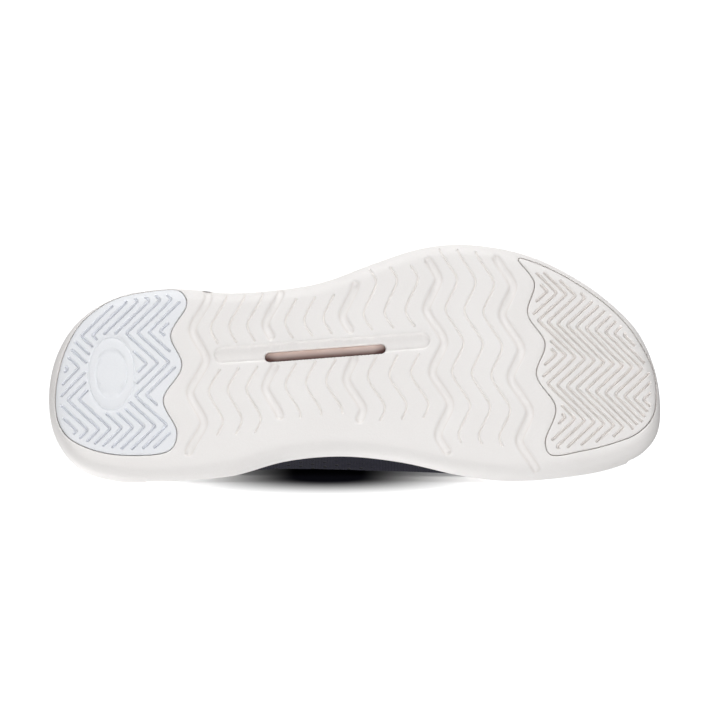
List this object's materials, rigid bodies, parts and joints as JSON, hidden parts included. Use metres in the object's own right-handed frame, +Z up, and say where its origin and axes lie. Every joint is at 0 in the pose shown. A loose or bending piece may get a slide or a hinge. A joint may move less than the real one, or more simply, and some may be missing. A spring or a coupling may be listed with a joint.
{
  "type": "cheer shoe",
  "caption": "Low-cut lace-up shoe for the right foot, near black navy upper on a white foam sole with zigzag grooves and two rubber tread pads.",
  "frame": {"origin": "on the ground under the middle of the shoe", "axes": "+X to the toe, +Y to the inner side of the foot, +Z up"},
  "size_m": [0.268, 0.104, 0.0991],
  "materials": {
    "white_foam": "matt moulded foam, warm white",
    "white_rubber": "satin moulded rubber, cool white",
    "warm_rubber": "satin moulded rubber, warm white",
    "rose_plastic": "moulded plastic, dusty rose",
    "board": "pressed fibre board",
    "insole_cloth": "brushed cloth on foam, dark",
    "navy_knit": "close knit, near black navy",
    "navy_film": "bonded film, near black navy",
    "padding": "open-cell foam",
    "lining_cloth": "brushed mesh lining",
    "stiffener": "thermoformed sheet",
    "navy_cord": "woven cord and webbing"
  },
  "bodies": {
    "rearfoot": {"midsole_rear": "white_foam", "heel_pad": "white_rubber", "shank_plate": "rose_plastic", "lasting_board_rear": "board", "insole_rear": "insole_cloth", "heel_counter": "stiffener", "quarter_lateral": "navy_knit", "quarter_medial": "navy_knit", "backstay": "navy_film", "collar_padding": "padding", "collar_lining": "lining_cloth", "eyestay_lateral": "navy_film", "eyestay_medial": "navy_film", "tongue_lower": "navy_knit", "lace": "navy_cord", "vamp_flex": "navy_knit"},
    "forefoot": {"midsole_forefoot": "white_foam", "forefoot_pad": "warm_rubber", "lasting_board_forefoot": "board", "insole_forefoot": "insole_cloth", "toe_box": "navy_knit", "toe_puff": "stiffener", "toe_guard": "navy_film"},
    "tongue_top": {"tongue_top": "navy_knit"},
    "pull_loop": {"pull_loop": "navy_cord"}
  },
  "joints": [
    {"name": "ball_flex", "type": "hinge", "parent": "rearfoot", "child": "forefoot", "pos_m": [0.0525, 0, 0.021], "axis": [0, -1, 0], "range_deg": [0, 35], "stiffness_Nm_per_rad": 1.5, "deforming": ["vamp_flex"]},
    {"name": "tongue_fold", "type": "hinge", "parent": "rearfoot", "child": "tongue_top", "pos_m": [-0.015, 0.006, 0.0881], "axis": [0, 1, 0], "range_deg": [0, 40]},
    {"name": "loop_swing", "type": "hinge", "parent": "rearfoot", "child": "pull_loop", "pos_m": [-0.1318, 0.01, 0.0672], "axis": [0, -1, 0], "range_deg": [0, 50], "stiffness_Nm_per_rad": 0.01}
  ]
}
